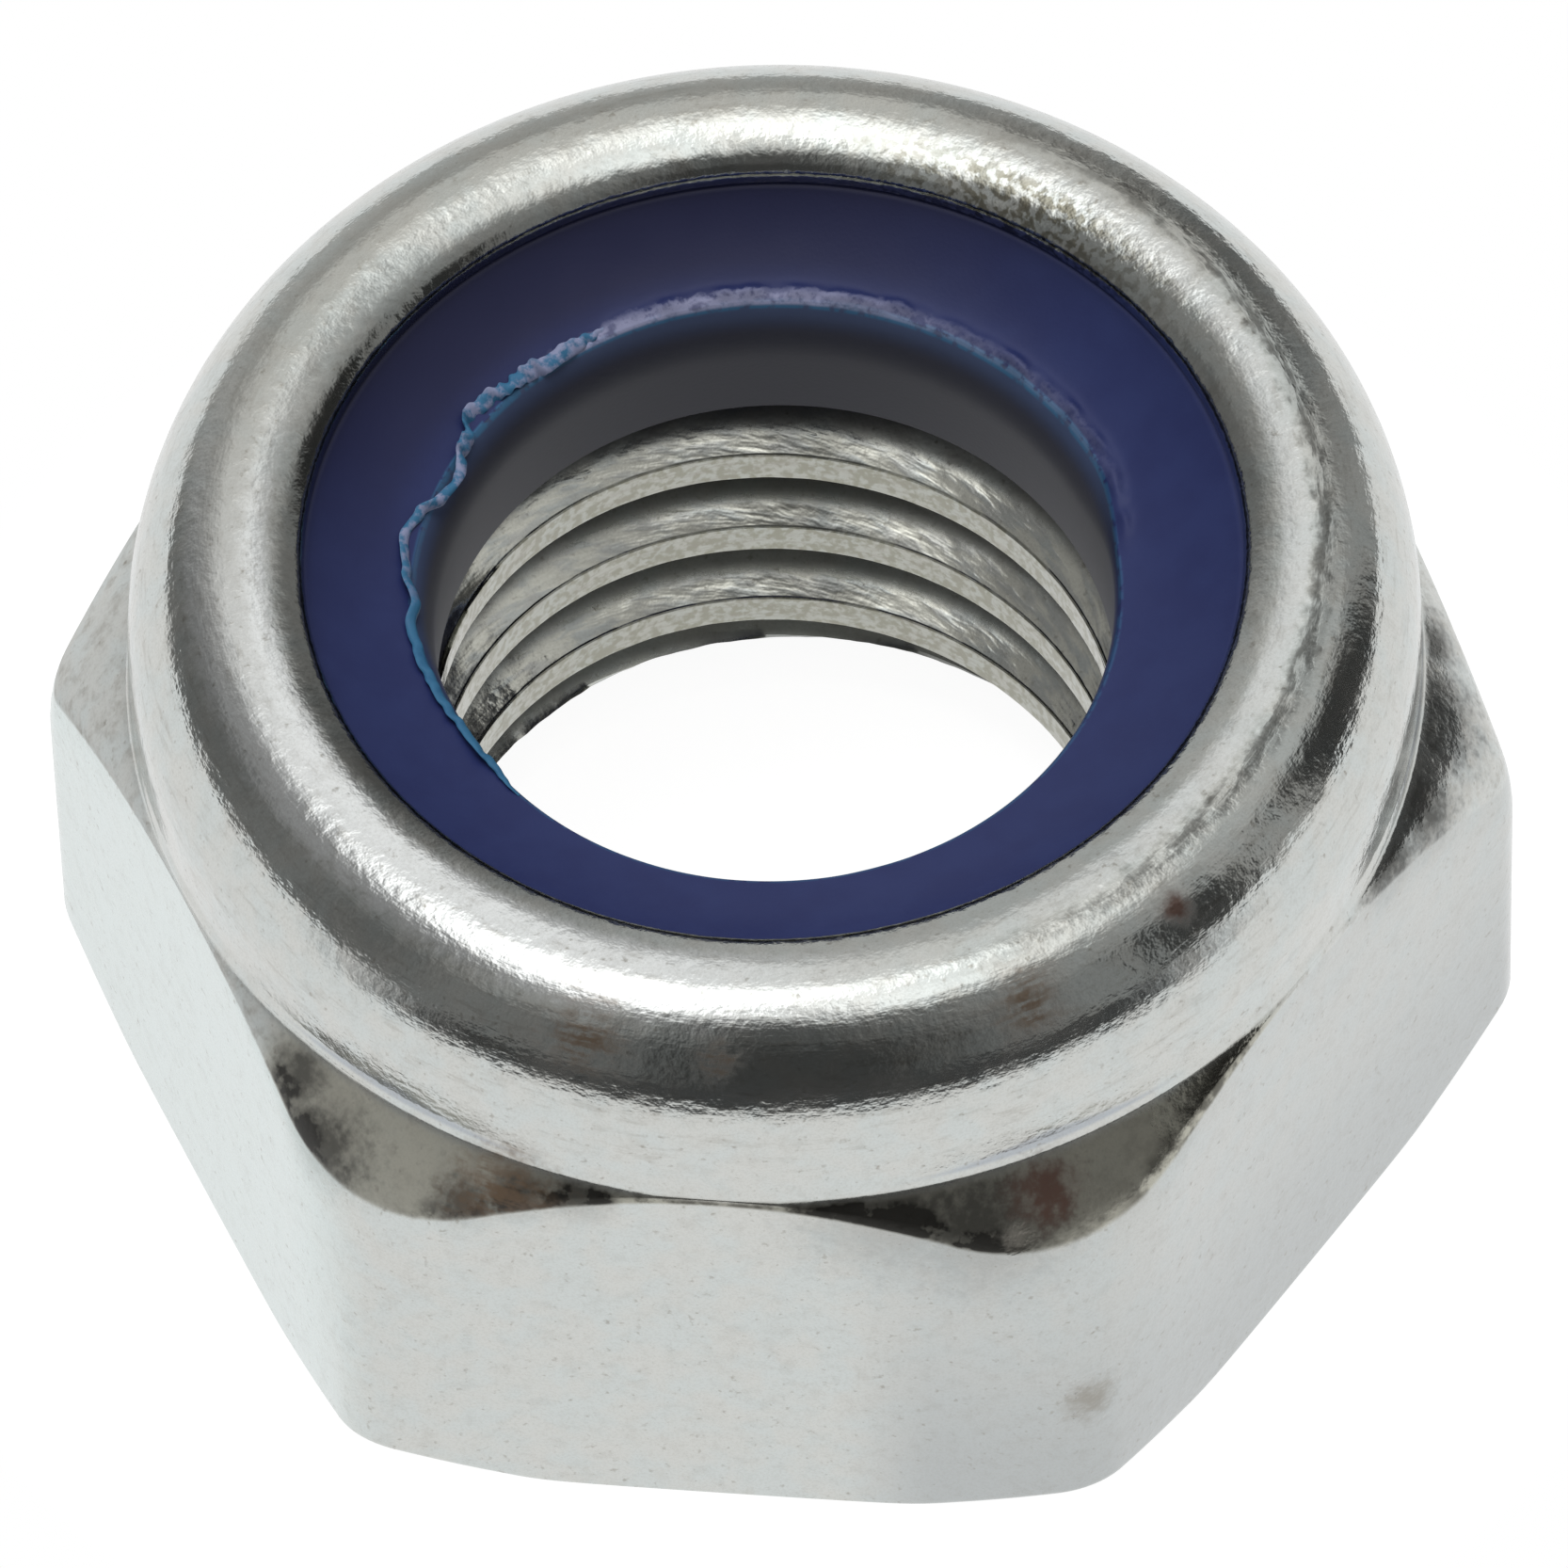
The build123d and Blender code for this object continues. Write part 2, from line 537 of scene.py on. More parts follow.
def ringRows(angle, size):
    # rows (r, z) out along the floor, up the wall, in over the dished top and down the hole
    full = np.ones_like(angle)
    lip = nut["lipRadius"]
    bore = size["boreRadius"] * full
    top = size["rimHeight"] - size["dishDepth"]
    rows = [
        (bore, size["floor"] * full),
        (size["outerRadius"] * full, size["floor"] * full),
        (size["outerRadius"] * full, (size["rimHeight"] - size["rimBevelHeight"]) * full),
        ((lip + size["rimLand"]) * full, size["rimHeight"] * full),
    ]
    steps = size["dishRows"]
    turn = np.radians(angle)
    amount = within(angle, size["crushedFrom"], size["crushedTo"], 16.0)
    edge = size["edgeRadius"] + size["edgeFlare"] * within(angle, size["flareFrom"], size["flareTo"], 24.0)
    inner = size["boreRadius"] + edge
    for part in range(steps + 1):
        t = 1 - (1 - part / steps) ** 1.4
        radius = lip + (inner - lip) * t
        sag = 4 * size["dishCurve"] * t * (1 - t)
        height = (size["rimHeight"] - size["dishDepth"] * t - sag) * full
        spots = [(math.cos(a) * r, math.sin(a) * r, 0.0) for a, r in zip(turn, radius)]
        ragged = rough(spots, 3.0, 3.1) + 0.5 * rough(spots, 8.0, 7.7)
        ridge = np.exp(-((radius - inner - 0.09) / 0.08) ** 2)
        height = height + size["crushedHeight"] * amount * ridge * (0.8 + 0.9 * ragged)
        height = height + size["unevenness"] * rough(spots, 2.2, 1.3)
        rows.append((radius, height))
    bevelTop = top - 0.012
    bevelDepth = size["edgeSteepness"] * edge
    for part in range(1, 9):
        share = part / 8
        rows.append((size["boreRadius"] + edge * (1 - share) ** 1.7, bevelTop - bevelDepth * share ** 1.3))
    for part in range(1, 8):
        share = part / 8
        rows.append((bore, (bevelTop - bevelDepth) * (1 - share) + size["floor"] * share))
    return rows


def buildRing(size, material):
    columns = size["columns"]
    angle = np.arange(columns) * 360.0 / columns
    turn = np.radians(angle)
    rows = ringRows(angle, size)
    points, faces = [], []
    for radius, height in rows:
        for k in range(columns):
            points.append((radius[k] * math.cos(turn[k]), radius[k] * math.sin(turn[k]), height[k]))
    for row in range(len(rows)):
        above = (row + 1) % len(rows)
        for k in range(columns):
            n = (k + 1) % columns
            faces.append((row * columns + k, row * columns + n, above * columns + n, above * columns + k))
    made = newMesh("nylonInsert", np.array(points) * mm, faces, material)
    made.data.set_sharp_from_angle(angle=math.radians(size["sharpAngle"]))
    print("nylon insert:", len(points), "points")
    return made


# the ribbon of cut nylon, in millimetres; outward is its reach past the bore at a few angles round the axis
curl = {
    "outward": (
        (199.0, 0.08), (190.0, 0.07), (184.0, 0.09), (175.0, 0.14), (167.0, 0.19), (161.0, 0.24),
        (156.5, 0.16), (151.0, 0.27), (143.0, 0.37), (139.0, 0.28), (136.0, 0.13), (130.0, 0.09),
        (124.0, 0.20), (119.0, 0.36), (111.0, 0.31), (104.0, 0.24), (92.0, 0.29),
    ),
    "width": 0.14,
    "thickness": 0.05,
    "lift": 0.06,
    "frill": 0.05,
    "frillFrom": 134.0,
    "steps": 700,
    "sides": 10,
    "sharpAngle": 60.0,
}


def buildCurl(name, size, material):
    # a ragged ribbon of cut nylon that stands up along the edge of the hole
    points, faces = [], []
    sides = size["sides"]
    top = ring["rimHeight"] - ring["dishDepth"]
    stops = size["outward"]
    span = stops[-1][0] - stops[0][0]
    turned = [stops[0][0] - at for at, reach in stops]
    reaches = [reach for at, reach in stops]
    for step in range(size["steps"] + 1):
        t = step / size["steps"]
        angle = stops[0][0] + span * t
        along = abs(span) * t * 0.06
        end = min(1.0, t * 12, (1 - t) * 14)
        place = min(max(np.searchsorted(turned, abs(span) * t), 1), len(turned) - 1)
        share = (abs(span) * t - turned[place - 1]) / (turned[place] - turned[place - 1])
        share = share * share * (3 - 2 * share)
        reach = reaches[place - 1] * (1 - share) + reaches[place] * share
        slow = noise.noise(Vector((along * 0.8, 4.0, 0.0)))
        wave = noise.noise(Vector((along * 3.6, 1.7, 3.0)))
        frill = 0.25 + 0.75 * min(1.0, max(0.0, (size["frillFrom"] - angle) / 12.0))
        quick = frill * noise.noise(Vector((along * 9.0, 9.0, 0.0)))
        middle = ring["boreRadius"] + reach + 0.03 * wave + size["frill"] * quick
        height = top + size["lift"] * end + 0.02 * slow + 0.02 * wave - 0.03 * quick
        halfWidth = size["width"] / 2 * (0.3 + 0.7 * end) * (0.75 + 0.5 * frill)
        halfWidth *= 1 + 0.35 * wave + 0.8 * quick
        halfThick = size["thickness"] / 2 * (0.4 + 0.6 * end)
        lean = math.radians(35 + 30 * slow + 40 * wave + 60 * quick)
        a = math.radians(angle)
        for side in range(sides):
            q = 2 * math.pi * side / sides
            across, through = halfWidth * math.cos(q), halfThick * math.sin(q)
            radius = middle + across * math.cos(lean) - through * math.sin(lean)
            level = height + across * math.sin(lean) + through * math.cos(lean)
            points.append((radius * math.cos(a), radius * math.sin(a), level))
    for step in range(size["steps"]):
        for side in range(sides):
            n = (side + 1) % sides
            low, high = step * sides, (step + 1) * sides
            faces.append((low + side, low + n, high + n, high + side))
    faces.append(tuple(reversed(range(sides))))
    faces.append(tuple(range(size["steps"] * sides, (size["steps"] + 1) * sides)))
    made = newMesh(name, np.array(points) * mm, faces, material)
    made.data.set_sharp_from_angle(angle=math.radians(size["sharpAngle"]))
    print("nylon curl:", len(points), "points")
    return made


# colours as sRGB; a spot is x, y, z and reach in millimetres; toRight is the side where the flats get
# painted shade
zinc = {
    "plain": (0.825, 0.835, 0.825),
    "warm": (0.83, 0.825, 0.80),
    "cool": (0.81, 0.835, 0.83),
    "litLeftFlats": (0.86, 0.905, 0.90),
    "shadedRightFlats": (0.73, 0.745, 0.745),
    "bore": (0.60, 0.60, 0.55),
    "glint": (0.93, 0.93, 0.89),
    "mouth": (0.27, 0.245, 0.20),
    "speckle": (0.60, 0.585, 0.55),
    "crescentReflection": (0.69, 0.715, 0.745),
    "paintedHighlight": (0.955, 0.965, 0.97),
    "crownShade": (0.66, 0.65, 0.62),
    "matte": (0.71, 0.70, 0.64),
    "rust": (0.45, 0.37, 0.29),
    "redRust": (0.37, 0.27, 0.23),
    "olive": (0.40, 0.37, 0.26),
    "sootAndShade": (0.20, 0.195, 0.18),
    "roughness": 0.11,
    "raggedness": 1.0,
    "bumpHeight": 0.000008,
    "toRight": (0.908, -0.419),
    "rustSpots": (
        (-4.1, -4.5, 7.13, 0.62), (-0.03, -6.01, 7.20, 0.50), (-5.1, -4.5, 4.97, 0.75),
        (-3.1, -5.35, 7.22, 0.35),
    ),
    "redSpots": ((-0.18, -6.73, 4.97, 0.50), (1.76, -5.68, 7.29, 0.22)),
    "sootSpots": (
        (-6.38, -2.95, 4.65, 0.80), (-6.25, -2.35, 5.05, 0.50), (-1.75, -6.50, 5.05, 1.3),
        (-0.95, -6.85, 4.80, 1.3), (-5.4, -4.26, 4.80, 0.42), (-4.92, -4.57, 5.0, 0.42),
        (-4.4, -4.9, 5.1, 0.5), (4.5, -4.7, 5.2, 0.75), (5.1, -4.2, 5.15, 0.85),
        (5.65, -3.3, 5.15, 0.95), (6.0, -2.5, 5.2, 0.55),
    ),
    "oliveSpots": ((4.1, 2.7, 7.25, 2.6),),
    "pit": (0.02, -7.32, 1.9, 0.40),
    "notch": (-0.59, -6.93, 4.68, 0.22),
}


def zincMaterial(look):
    made, g = newMaterial("brightZinc")
    where, x, y, z = g.place()
    radius = (x * x + y * y) ** 0.5
    cosine, sine = x / radius, y / radius
    across = z - radius
    # how far in from the nearest flat, and how far the outline stands out towards a corner
    leanA, leanB = x * 0.5 + y * 0.866, x * -0.5 + y * 0.866
    toSide = x.math("ABSOLUTE").math("MAXIMUM", leanA.math("ABSOLUTE"))
    toSide = toSide.math("MAXIMUM", leanB.math("ABSOLUTE"))
    inward = nut["apothem"] - toSide
    cornerness = (1 - toSide / radius) * 7.46
    toRight = x * look["toRight"][0] + y * look["toRight"][1]
    rightness, backness = toRight / radius, y / radius

    def ribbed(around, over, seed):
        return g.node("ShaderNodeCombineXYZ", None, (cosine * around, sine * around, across * over + seed))

    along = g.noise(ribbed(11.0, 8.0, 0.0), 1.0, 3.0, 0.6)
    mottle = g.noise(where, 1.9, 2.0, 0.6)
    lump = g.noise(where, 5.0, 3.0, 0.62)
    speck = g.noise(where, 11.0, 2.0, 0.5)
    grain = g.noise(where, 34.0, 1.0, 0.6)
    streak = g.noise(ribbed(8.0, 24.0, 3.0), 1.0, 2.0, 0.55)
    uneven = (lump - 0.5) * 1.2 + (speck - 0.5) * 0.7

    def blot(spots):
        # irregular soft stains: the noise pushes their outline in and out
        nearest = None
        for spot in spots:
            ends = (where, tuple(spot[:3]))
            share = g.node("ShaderNodeVectorMath", {"operation": "DISTANCE"}, ends, "Value") / spot[3]
            nearest = share if nearest is None else nearest.math("MINIMUM", share)
        return 1 - g.step(nearest + uneven, 0.1, 1.1)

    # masks of the bore: crests, torn flanks, grooves and the countersink at the top
    crestAt, rimAt = nut["crestRadius"], nut["rootRadius"] + nut["countersinkMargin"]
    inBore = 1 - g.step(radius, rimAt + 0.05, rimAt + 0.12)
    crest = inBore * (1 - g.step(radius, crestAt + 0.015, crestAt + 0.04))
    torn = inBore * g.step(radius, crestAt + 0.015, crestAt + 0.035)
    torn = torn * (1 - g.step(radius, crestAt + 0.18, crestAt + 0.34))
    # the deep part of each groove: its darker tint is partly painted shade and partly dirt, and it is
    # rougher
    deep = inBore * g.step(radius, crestAt + 0.16, crestAt + 0.38)
    mouth = inBore * g.step(z, nut["pocketFloor"] - 0.64, nut["pocketFloor"] - 0.50)

    # masks of the hexagon: the chamfer is what lies on its cone, the flats what lies below that
    shoulder, slope = nut["shoulderHeight"], math.tan(math.radians(nut["topChamferAngle"]))
    cone = g.step(z + (radius - nut["collarRadius"]) * slope, shoulder - 0.10, shoulder - 0.04)
    below = (1 - g.step(z, shoulder - 0.10, shoulder + 0.02)) * g.step(radius, 6.3, 6.4)
    flats = (1 - cone) * below
    chamfer = cone * below
    front = (1 - g.step(y, -2.2, -1.6)) * (1 - g.step(x, 2.4, 3.2))
    chamferEdge = chamfer * front * (1 - g.step(inward, 0.06, 0.24))

    # masks of the collar, with uneven limits: painted highlights on the crown, painted shade at the back,
    # along the crease and under the lip, and painted reflections at the collar's foot
    dome = g.step(z, 5.5, 5.9) * g.step(radius, 4.5, 4.7)
    ragged = radius + (lump - 0.5) * 0.20 + (speck - 0.5) * 0.16
    onCrown = g.step(z, 7.0, 7.1)
    rightCrown = onCrown * g.step(rightness, 0.20, 0.80)
    # painted shade: a dark ragged line along a crease on the right of the crown, which also sinks the bump
    # there
    crease = g.step(ragged, 5.34, 5.48) * (1 - g.step(ragged, 5.50, 5.68)) * rightCrown
    crease = crease * (0.25 + g.step(along, 0.38, 0.54) * 0.75)
    inner = g.step(radius, 5.02, 5.14) * (1 - g.step(ragged, 5.30, 5.40)) * rightCrown
    leftHighlight = g.step(ragged, 4.95, 5.10) * (1 - g.step(ragged, 5.75, 5.95)) * g.step(rightness, 0.45, -0.35)
    crownBackShade = g.step(ragged, 5.15, 5.35) * (1 - g.step(ragged, 5.60, 5.80)) * g.step(backness, -0.2, 0.5)
    # painted shadow of the lip, next to the nylon on the left
    lipShadow = (1 - g.step(ragged, 4.80, 5.05)) * g.step(z, 6.9, 7.0) * g.step(rightness, -0.2, -0.8)
    # painted reflection: bluish-grey crescents at the foot of the collar, towards the corners
    crescentReflection = (1 - g.step(z - cornerness * 0.30, shoulder - 0.06, shoulder + 0.04))
    crescentReflection = crescentReflection * g.step(z, shoulder + 0.06, shoulder + 0.12) * g.step(radius, 6.3, 6.4)

    # the plating itself, first plain and then for each part of the nut
    tint = g.mix(g.step(mottle, 0.35, 0.68), color(*look["cool"]), color(*look["warm"]))
    tint = g.mix(0.35 + g.step(mottle, 0.40, 0.62) * 0.3, tint, color(*look["plain"]))
    # partly painted light: the left flats are lighter, and bluer from the plating's tint
    tint = g.mix(flats * (1 - g.step(toRight, -4.8, -4.0)) * 0.8, tint, color(*look["litLeftFlats"]))
    # painted shade: the flats on the right side are darker, most of all towards the bottom
    shaded = g.step(toRight, 0.4, 1.6) * (0.35 + 0.65 * (1 - g.step(z, 0.3, 4.0)))
    tint = g.mix(flats * shaded, tint, color(*look["shadedRightFlats"]))
    # painted highlight: the crown is lighter on its left front and just inside the crease on the right
    paintedHighlight = leftHighlight * g.step(y, 4.5, 1.5) * 0.9 + inner * 0.5
    tint = g.mix(paintedHighlight.clamped(), tint, color(*look["paintedHighlight"]))
    # painted shade: the crown is darker at the back
    tint = g.mix(crownBackShade * 0.45, tint, color(*look["crownShade"]))
    tint = g.mix(chamfer * front * 0.8, tint, color(*look["matte"]))
    tint = g.mix(crest * (0.6 + g.step(speck, 0.4, 0.62) * 0.4), tint, color(*look["bore"]))
    tint = g.mix(crest * g.step(streak, 0.48, 0.66) * 0.35, tint, color(*look["speckle"]))
    tint = g.mix(torn * g.step(streak, 0.62, 0.42) * 0.9, tint, color(*look["glint"]))
    tint = g.mix(crescentReflection * g.step(cornerness, 0.1, 0.5) * 0.8, tint, color(*look["crescentReflection"]))

    # specks, stains, soot and rust over it, and painted shade in the grooves, the crease and under the lip
    fine = g.step(speck, 0.62, 0.80) * 0.55 + g.step(lump, 0.46, 0.74) * 0.14
    fine = fine + g.step(grain, 0.40, 0.70) * 0.12
    blotch = g.step(along, 0.52, 0.75) * dome * 0.30 + g.step(lump, 0.45, 0.72) * chamfer * 0.30
    tint = g.mix((fine + blotch).clamped(), tint, color(*look["speckle"]))
    olive = blot(look["oliveSpots"]) * g.step(z, 6.9, 7.1) * (1 - g.step(radius, 5.0, 5.25))
    olive = olive * g.step(speck, 0.44, 0.58)
    tint = g.mix(olive * 0.7, tint, color(*look["olive"]))
    sooty = blot(look["sootSpots"]) * (chamfer + flats * 0.25)
    edge = chamferEdge * g.step(lump + mottle, 0.85, 1.15) * 0.75
    # soot spots and dark front chamfer edges, with painted shade from the grooves, the crease and the lip
    grimeAndShade = sooty * 0.85 + deep * 0.68 + edge + crease * 0.72 + lipShadow * 0.45
    tint = g.mix(grimeAndShade.clamped(), tint, color(*look["sootAndShade"]))
    tint = g.mix(mouth * (0.55 + g.step(lump, 0.35, 0.6) * 0.4), tint, color(*look["mouth"]))
    broken = g.step(lump * 0.5 + along * 0.5, 0.36, 0.54) * (1 - flats)
    brown = blot(look["rustSpots"]) * broken
    tint = g.mix(brown * 0.9, tint, color(*look["rust"]))
    red = blot(look["redSpots"]) * (1 - flats)
    tint = g.mix(red * 0.95, tint, color(*look["redRust"]))
    pit = blot((look["pit"],)) + blot((look["notch"],))
    tint = g.mix((pit * 0.8).clamped(), tint, color(*look["speckle"]))

    # the left corner's chamfer is dull and pale, and the front ones are rough
    pale = chamfer * g.step(x, -4.4, -5.4)
    mirror = 1 - (pale * 0.7 + brown * 0.4 + red * 0.5 + sooty * 0.35).clamped()
    roughness = look["roughness"] + g.step(mottle, 0.3, 0.8) * 0.06 + fine * 0.16 + deep * 0.2
    roughness = roughness + chamfer * g.step(toRight, 4.5, 2.5) * 0.38
    marks = along * dome * 0.55 + streak * torn * g.step(x, -3.3, -1.8) - crease * 0.5
    lumps = lump * (0.75 + chamfer * 0.6 + dome * 0.4 - inBore * 0.5)
    height = lumps + speck * 0.28 + marks - pit * (1.5 + speck * 3.0)
    bump = g.node("ShaderNodeBump", None, {
        "Strength": look["raggedness"], "Distance": look["bumpHeight"], "Height": height,
    })
    shader = g.node("ShaderNodeBsdfPrincipled", None, {
        "Base Color": tint, "Metallic": mirror, "Roughness": roughness, "Normal": bump,
    })
    g.node("ShaderNodeOutputMaterial", None, (shader,))
    return made


nylon = {
    "color": (0.165, 0.20, 0.375),
    "deepColor": (0.14, 0.165, 0.335),
    "dishBackShade": (0.135, 0.145, 0.27),
    "wallColor": (0.165, 0.17, 0.20),
    "bevelColor": (0.255, 0.26, 0.31),
    "bevelTop": (0.27, 0.32, 0.44),
    "pale": (0.60, 0.61, 0.73),
    "teal": (0.22, 0.43, 0.57),
    "deepTeal": (0.13, 0.31, 0.48),
    "roughness": 0.42,
    "gloss": 0.35,
    "raggedness": 0.6,
    "bumpHeight": 0.000008,
    "toBack": (0.39, 0.92),
}


def nylonMaterial(name, look, cut):
    # cut is 0 for the sound ring and 1 for the pale torn ribbon
    made, g = newMaterial(name)
    where, x, y, z = g.place()
    radius = (x * x + y * y) ** 0.5
    mottle = g.noise(where, 2.0, 4.0)
    fleck = g.noise(where, 7.0, 4.0, 0.6)
    grain = g.noise(where, 26.0, 2.0)
    base = g.mix(g.step(mottle, 0.3, 0.7) * 0.5, color(*look["color"]), color(*look["deepColor"]))
    if cut:
        frayed = g.step(y, 0.9, 2.4) * g.step(fleck, 0.42, 0.60)
        base = g.mix(g.step(fleck, 0.35, 0.75) * 0.5, color(*look["teal"]), color(*look["deepTeal"]))
        base = g.mix(frayed * 0.8, base, color(*look["pale"]))
        height = fleck * 0.8 + grain * 0.3
    else:
        backward = x * look["toBack"][0] + y * look["toBack"][1]
        flared = g.step(y - g.step(x, 0.5, -0.5) * 1.1, -1.1, 0.4)
        edgeAt = ring["boreRadius"] + ring["edgeRadius"] + flared * ring["edgeFlare"]
        # painted shade: the back of the dish is darker, under the lip's overhang
        base = g.mix(g.step(y, 1.0, 4.2) * g.step(radius, 3.6, 4.1), base, color(*look["dishBackShade"]))
        # the wall and the bevel of the hole
        inHole = 1 - g.step(radius - edgeAt, -0.012, 0.008)
        base = g.mix(inHole * g.step(backward, -1.0, 1.0) * 0.8, base, color(*look["wallColor"]))
        bevel = inHole * g.step(z, 5.75, 6.25) * flared
        bevelShade = g.mix(g.step(z, 6.15, 6.44), color(*look["bevelColor"]), color(*look["bevelTop"]))
        base = g.mix(bevel, base, bevelShade)
        # a teal line along the edge, and a scuffed pale band outside it
        cutEdge = (1 - g.step(radius - edgeAt, 0.012, 0.035)) * g.step(z, 6.41, 6.44)
        edgeLine = cutEdge * (0.4 + g.step(backward, 0.5, 2.5) * 0.6) * g.step(fleck, 0.36, 0.5)
        base = g.mix(edgeLine * 0.75, base, color(*look["teal"]))
        band = g.step(radius, 3.59, 3.61) * (1 - g.step(radius + (fleck - 0.5) * 0.25, 3.68, 3.76))
        band = band * g.step(z, 6.40, 6.44)
        band = band * g.step(backward, 0.6, 2.6) * (1 - g.step(x, 1.6, 3.4) * 0.75) * g.step(x, -1.3, -0.5)
        scuffed = band * (0.35 + g.step(fleck + mottle * 0.4, 0.52, 0.78) * 0.65)
        base = g.mix((scuffed * 0.95).clamped(), base, color(*look["pale"]))
        height = fleck * (0.12 + scuffed * 0.8) + grain * 0.25
    bump = g.node("ShaderNodeBump", None, {
        "Strength": look["raggedness"], "Distance": look["bumpHeight"], "Height": height,
    })
    shader = g.node("ShaderNodeBsdfPrincipled", None, {
        "Base Color": base, "Normal": bump,
        "Roughness": look["roughness"], "Specular IOR Level": look["gloss"],
    })
    g.node("ShaderNodeOutputMaterial", None, (shader,))
    return made


nutBody = buildNut(nut, zincMaterial(zinc))
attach(nutBody, "root")
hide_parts("nut_body")

nylonInsert = buildRing(ring, nylonMaterial("blueNylon", nylon, 0))
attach(nylonInsert, "root")
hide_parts("nylon_insert")

nylonCurl = buildCurl("nylonCurl", curl, nylonMaterial("cutNylon", nylon, 1))
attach(nylonCurl, "root")

# lengths in metres, those of the view in mm; a pair is an angle from the camera and a brightness
studio = {
    "floorSize": 3.0,
    "floorGap": 0.00001,
    "floorGlow": 0.92,
    "floorColor": 0.28,
    "floorPlain": 0.8,
    "shadowReach": (0.008, 0.010),
    "mirroredFloor": 0.93,
    "mirroredFront": 0.06,
    "frontReach": (0.022, 0.032),
    "domeRadius": 0.7,
    "boxRadiance": 2.0,
    "boxInner": 13.0,
    "boxOuter": 33.0,
    "boxShare": (
        (-180, 0.94), (-140, 0.98), (-60, 0.98), (-35, 0.72), (-15, 0.40), (8, 0.38), (25, 0.64),
        (60, 0.70), (85, 0.62), (142, 0.58), (157, 0.70), (168, 0.88), (180, 0.94),
    ),
    "highRoom": (
        (-180, 0.78), (-163, 0.78), (-150, 0.58), (-138, 0.36), (-125, 0.25), (-98, 0.24), (-68, 0.21),
        (-48, 0.36), (-35, 0.36), (-20, 0.20), (-8, 0.08), (7, 0.10), (22, 0.16), (37, 0.24), (52, 0.32),
        (67, 0.36), (85, 0.46), (103, 0.54), (120, 0.56), (142, 0.45), (152, 0.60), (166, 0.88), (180, 0.80),
    ),
    "lowRoom": (
        (-180, 0.50), (-156, 0.50), (-143, 0.40), (-128, 0.19), (-105, 0.14), (-83, 0.20), (-68, 0.14),
        (-50, 0.21), (-38, 0.18), (-23, 0.13), (-12, 0.055), (14, 0.055), (30, 0.15), (48, 0.26), (56, 0.26),
        (60, 0.05), (74, 0.05), (78, 0.40), (88, 0.38), (92, 0.045), (115, 0.045), (121, 0.30), (128, 0.34),
        (142, 0.26), (155, 0.13), (166, 0.32), (180, 0.50),
    ),
    "roomBlend": (31.0, 44.0),
    "lampTilt": 20.0,
    "lampTurn": -155.0,
    "lampHeight": 0.5,
    "lampRadius": 0.24,
    "lampRadiance": 3.1,
    "worldLight": 0.35,
    "viewAzimuth": -113.21,
    "viewElevation": 55.078,
    "viewDistance": 224.87,
    "viewRoll": -1.92,
    "viewTarget": (0.039, -0.017, 3.173),
    "lens": 511.28,
}


def sideways(azimuth, elevation=0.0):
    a, e = math.radians(azimuth), math.radians(elevation)
    return Vector((math.cos(a) * math.cos(e), math.sin(a) * math.cos(e), math.sin(e)))


def dot(g, where, direction):
    return g.node("ShaderNodeVectorMath", {"operation": "DOT_PRODUCT"}, (where, tuple(direction)), "Value")


def pathOf(g, *kinds):
    path = g.node("ShaderNodeLightPath")
    seen = None
    for kind in kinds:
        ray = Value(g, path.socket.node.outputs[kind])
        seen = ray if seen is None else seen.math("MAXIMUM", ray)
    return seen


def emission(g, shade, strength=1.0):
    return g.node("ShaderNodeEmission", None, {"Color": shade, "Strength": strength})


def buildFloor(look):
    made, g = newMaterial("paleFloor")
    place = g.node("ShaderNodeTexCoord", None, (), "Object")
    away = g.node("ShaderNodeVectorMath", {"operation": "LENGTH"}, (place,), "Value")
    plain = g.node("ShaderNodeBsdfDiffuse", None, {"Color": gray(look["floorPlain"])})
    # what the camera sees: white, with the shadow round the object
    lit = g.node("ShaderNodeBsdfDiffuse", None, {"Color": gray(look["floorColor"])})
    near = g.node("ShaderNodeAddShader", None, (lit, emission(g, gray(1.0), look["floorGlow"])))
    reach = g.step(away, *look["shadowReach"])
    white = g.node("ShaderNodeMixShader", None, (reach, near, emission(g, gray(1.0))))
    # what the metal mirrors: the white sheet ends a few centimetres in front of the object
    ahead = dot(g, place, sideways(look["viewAzimuth"])) / away
    sheet = g.step(away, *look["frontReach"]) * g.step(ahead, 0.25, 0.7)
    mirrored = emission(g, g.mix(sheet, gray(look["mirroredFloor"]), gray(look["mirroredFront"])))
    mixed = g.node("ShaderNodeMixShader", None, (pathOf(g, "Is Glossy Ray"), plain, mirrored))
    seen = pathOf(g, "Is Camera Ray", "Is Transmission Ray")
    mixed = g.node("ShaderNodeMixShader", None, (seen, mixed, white))
    g.node("ShaderNodeOutputMaterial", None, (mixed,))
    onlyMirrored(made)
    half = look["floorSize"] / 2
    level = -look["floorGap"]
    corners = [(-half, -half, level), (half, -half, level), (half, half, level), (-half, half, level)]
    floor = newMesh("floor", corners, [(0, 1, 2, 3)], made, smooth=False)
    return floor


